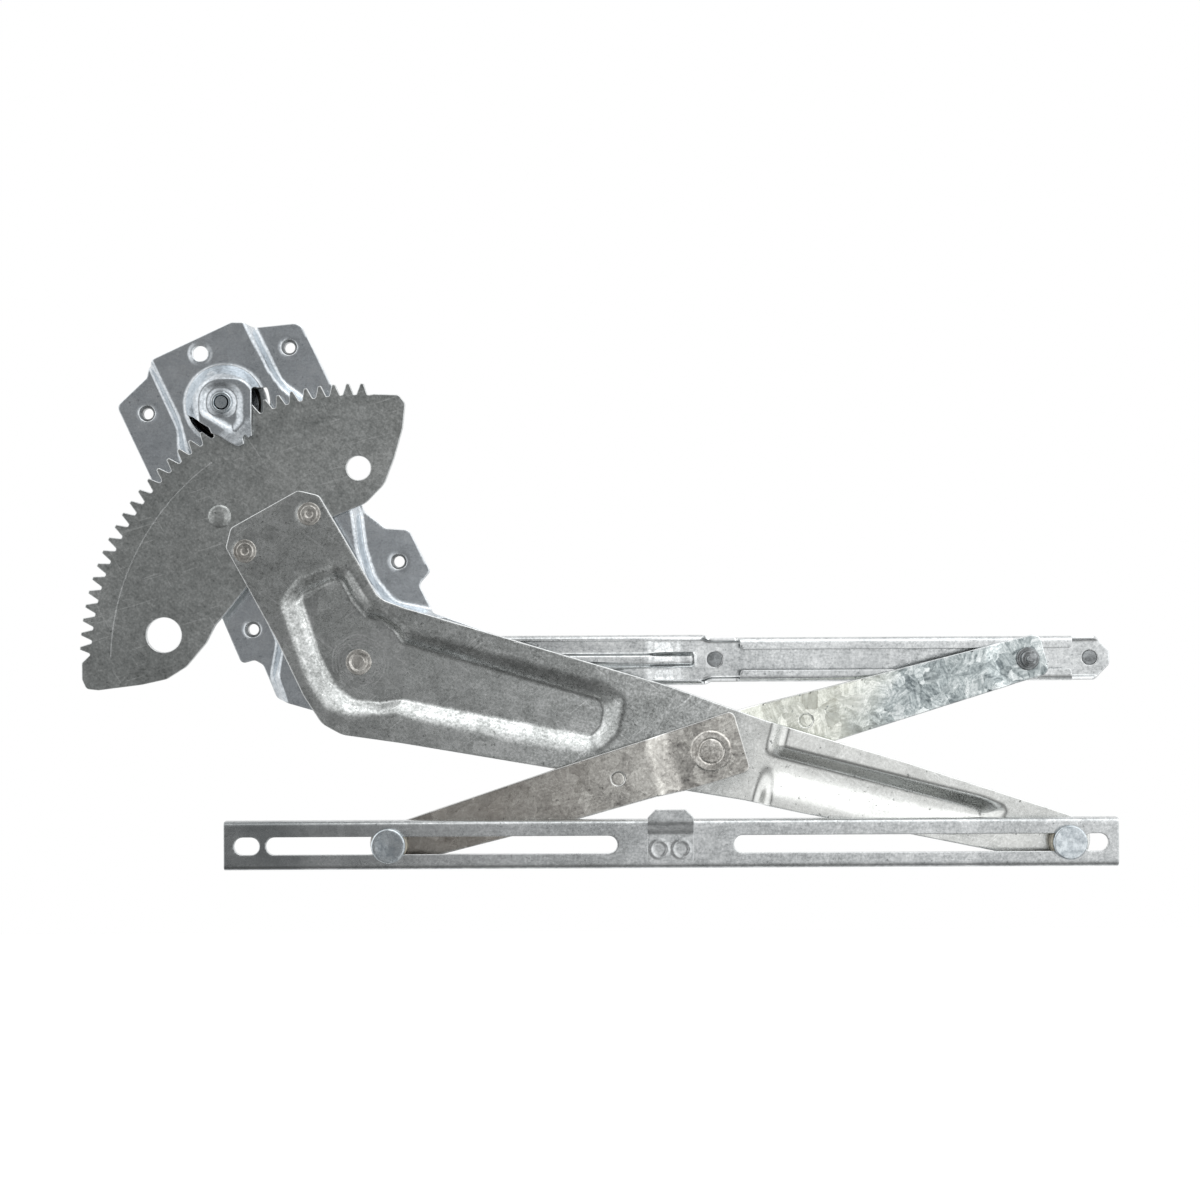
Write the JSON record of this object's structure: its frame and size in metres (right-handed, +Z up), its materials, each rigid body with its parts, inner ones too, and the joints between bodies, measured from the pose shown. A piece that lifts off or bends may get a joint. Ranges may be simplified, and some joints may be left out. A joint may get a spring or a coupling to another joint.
{
  "type": "window regulator",
  "caption": "Hand-cranked X-arm window regulator: a toothed sector and pinion swing a long lift arm, and a pivoted balance arm keeps the glass rail level.",
  "frame": {"origin": "middle of the four mounting nuts, in the plane where they meet the door's inner panel", "axes": "+X along the door to the right of the picture, +Y from the glass towards the cabin, +Z up"},
  "size_m": [0.465, 0.0736, 0.2469],
  "materials": {
    "zinc_arm": "galvanised, satin",
    "zinc_sector": "galvanised, dull dark grey",
    "zinc_plate": "galvanised, bright",
    "zinc_rail": "galvanised, satin",
    "plated_steel": "zinc plated",
    "bare_steel": "machined, oiled",
    "spring_steel": "dark spring steel",
    "bush": "moulded",
    "nylon": "moulded nylon"
  },
  "bodies": {
    "base": {"base_plate": "zinc_plate", "weld_nuts": "plated_steel", "fixed_rail": "zinc_rail", "lap_rivets": "plated_steel", "panel_studs": "plated_steel", "main_pivot": "plated_steel", "pivot_washer": "spring_steel", "brake_drum": "plated_steel", "spindle_bush": "bush", "journal_bush": "plated_steel"},
    "crank": {"pinion": "bare_steel", "crank_spindle": "bare_steel", "wrap_spring": "spring_steel"},
    "lift": {"lift_arm": "zinc_arm", "sector_gear": "zinc_sector", "sector_rivets": "plated_steel", "centre_bush": "bush", "lift_stud": "plated_steel"},
    "lift_roller": {"lift_roller": "nylon"},
    "balance": {"balance_arm_front": "zinc_arm", "balance_arm_rear": "zinc_arm", "centre_pin": "plated_steel", "balance_stud": "plated_steel", "guide_stud": "bare_steel"},
    "balance_roller": {"balance_roller": "nylon"},
    "guide_roller": {"guide_roller": "nylon"},
    "rail": {"lower_rail": "zinc_rail", "glass_clip": "zinc_rail"}
  },
  "joints": [
    {"name": "lift_swing", "type": "hinge", "parent": "base", "child": "lift", "pos_m": [0.04, -0.016, -0.0789], "axis": [0, -1, 0], "range_deg": [-25.65, 29.5]},
    {"name": "crank_turn", "type": "hinge", "parent": "base", "child": "crank", "pos_m": [-0.02008, -0.016, 0.03751], "axis": [0, -1, 0], "range_deg": [-455, 396]},
    {"name": "balance_swing", "type": "hinge", "parent": "lift", "child": "balance", "pos_m": [0.19753, -0.02, -0.1192], "axis": [0, -1, 0], "range_deg": [-64, 56]},
    {"name": "lift_roller_turn", "type": "hinge", "parent": "lift", "child": "lift_roller", "pos_m": [0.35505, -0.031, -0.1595], "axis": [0, -1, 0], "range_deg": [-31, 27]},
    {"name": "rail_slide", "type": "slide", "parent": "lift_roller", "child": "rail", "axis": [1, 0, 0], "range_m": [0, 0.039]},
    {"name": "balance_roller_turn", "type": "hinge", "parent": "balance", "child": "balance_roller", "pos_m": [0.0545, -0.031, -0.1595], "axis": [0, -1, 0], "continuous": true},
    {"name": "guide_roller_turn", "type": "hinge", "parent": "balance", "child": "guide_roller", "pos_m": [0.34056, -0.006, -0.0789], "axis": [0, -1, 0], "continuous": true}
  ],
  "couplings": [
    {"joint": "crank_turn", "follows": "lift_swing", "ratio": -15.375},
    {"joint": "balance_swing", "follows": "lift_swing", "ratio": -2.109},
    {"joint": "lift_roller_turn", "follows": "lift_swing", "ratio": -1}
  ]
}
